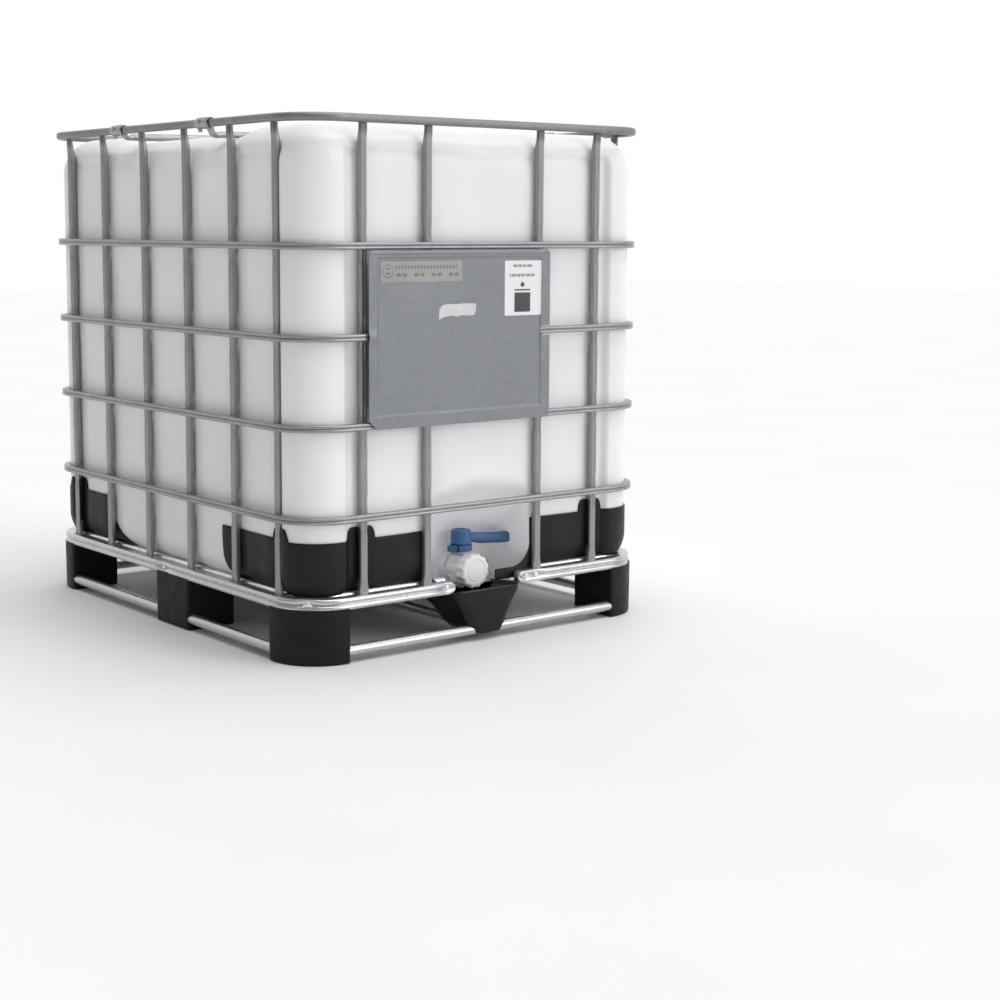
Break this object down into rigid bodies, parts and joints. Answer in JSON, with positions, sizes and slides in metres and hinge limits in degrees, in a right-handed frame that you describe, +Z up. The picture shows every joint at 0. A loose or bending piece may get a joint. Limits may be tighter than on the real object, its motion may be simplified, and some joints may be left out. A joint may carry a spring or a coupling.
{
  "type": "intermediate bulk container",
  "caption": "Caged bulk liquid container: translucent plastic bottle in a tubular steel cage on a steel pan with plastic feet, with screw filling lid and a ball valve outlet.",
  "frame": {"origin": "centre of the footprint on the floor, at the underside of the centre foot", "axes": "+X to the right when facing the valve, along the short side; +Y from the valve side to the back, along the long side; +Z up"},
  "size_m": [1, 1.2015, 1.16],
  "materials": {
    "galvanised_tube": "dull zinc with fine spangle",
    "pan_sheet": "bright galvanised sheet",
    "plate_sheet": "satin galvanised sheet",
    "card": "matt printed film",
    "black_plastic": "moulded, slightly scuffed",
    "guard_plastic": "smooth moulded",
    "bottle_hdpe": "waxy translucent blow-moulded",
    "screw_steel": "zinc plated",
    "lid_plastic": "moulded",
    "seal_rubber": "smooth",
    "valve_plastic": "smooth moulded",
    "handle_plastic": "smooth moulded"
  },
  "bodies": {
    "frame": {"base_pan": "pan_sheet", "base_rail": "galvanised_tube", "bottle": "bottle_hdpe", "deck_beams": "pan_sheet", "foot_back": "black_plastic", "foot_back_left": "black_plastic", "foot_back_right": "black_plastic", "foot_centre": "black_plastic", "foot_front_left": "black_plastic", "foot_front_right": "black_plastic", "foot_left": "black_plastic", "foot_right": "black_plastic", "hold_down_bar_back": "galvanised_tube", "hold_down_bar_front": "galvanised_tube", "hoop_1": "galvanised_tube", "hoop_2": "galvanised_tube", "hoop_3": "galvanised_tube", "hoop_4": "galvanised_tube", "label_cards": "card", "label_plate": "plate_sheet", "protector_back_left": "black_plastic", "protector_back_right": "black_plastic", "protector_front_left": "black_plastic", "protector_front_right": "black_plastic", "rail_screws": "screw_steel", "rim_tube": "galvanised_tube", "skid_frame": "galvanised_tube", "skid_runner": "galvanised_tube", "stem_collar": "handle_plastic", "union_nut": "valve_plastic", "upright_back_1": "galvanised_tube", "upright_back_2": "galvanised_tube", "upright_back_3": "galvanised_tube", "upright_back_4": "galvanised_tube", "upright_back_5": "galvanised_tube", "upright_front_1": "galvanised_tube", "upright_front_2": "galvanised_tube", "upright_front_3": "galvanised_tube", "upright_front_4": "galvanised_tube", "upright_left_1": "galvanised_tube", "upright_left_2": "galvanised_tube", "upright_left_3": "galvanised_tube", "upright_left_4": "galvanised_tube", "upright_left_5": "galvanised_tube", "upright_left_6": "galvanised_tube", "upright_right_1": "galvanised_tube", "upright_right_2": "galvanised_tube", "upright_right_3": "galvanised_tube", "upright_right_4": "galvanised_tube", "upright_right_5": "galvanised_tube", "upright_right_6": "galvanised_tube", "valve_body": "valve_plastic", "valve_guard": "guard_plastic"},
    "outlet_seal": {"cap_seal": "seal_rubber"},
    "outlet_cap": {"outlet_cap": "valve_plastic"},
    "fill_seal": {"lid_seal": "seal_rubber"},
    "fill_lid": {"fill_lid": "lid_plastic"},
    "handle": {"valve_handle": "handle_plastic", "valve_stem": "handle_plastic", "valve_ball": "valve_plastic"}
  },
  "joints": [
    {"name": "handle_turn", "type": "hinge", "parent": "frame", "child": "handle", "pos_m": [0, -0.497, 0.149], "axis": [0, 0, 1], "range_deg": [-90, 0]},
    {"name": "cap_travel", "type": "slide", "parent": "frame", "child": "outlet_seal", "axis": [0, -1, 0], "range_m": [0, 0.018]},
    {"name": "cap_spin", "type": "hinge", "parent": "outlet_seal", "child": "outlet_cap", "pos_m": [0, -0.54, 0.149], "axis": [0, -1, 0], "range_deg": [0, 1080]},
    {"name": "lid_travel", "type": "slide", "parent": "frame", "child": "fill_seal", "axis": [0, 0, 1], "range_m": [0, 0.018]},
    {"name": "lid_spin", "type": "hinge", "parent": "fill_seal", "child": "fill_lid", "pos_m": [0, 0, 1.13], "axis": [0, 0, 1], "range_deg": [0, 1080]}
  ],
  "couplings": [
    {"joint": "cap_travel", "follows": "cap_spin", "m_per_rad": 0.0009549},
    {"joint": "lid_travel", "follows": "lid_spin", "m_per_rad": 0.0009549}
  ]
}
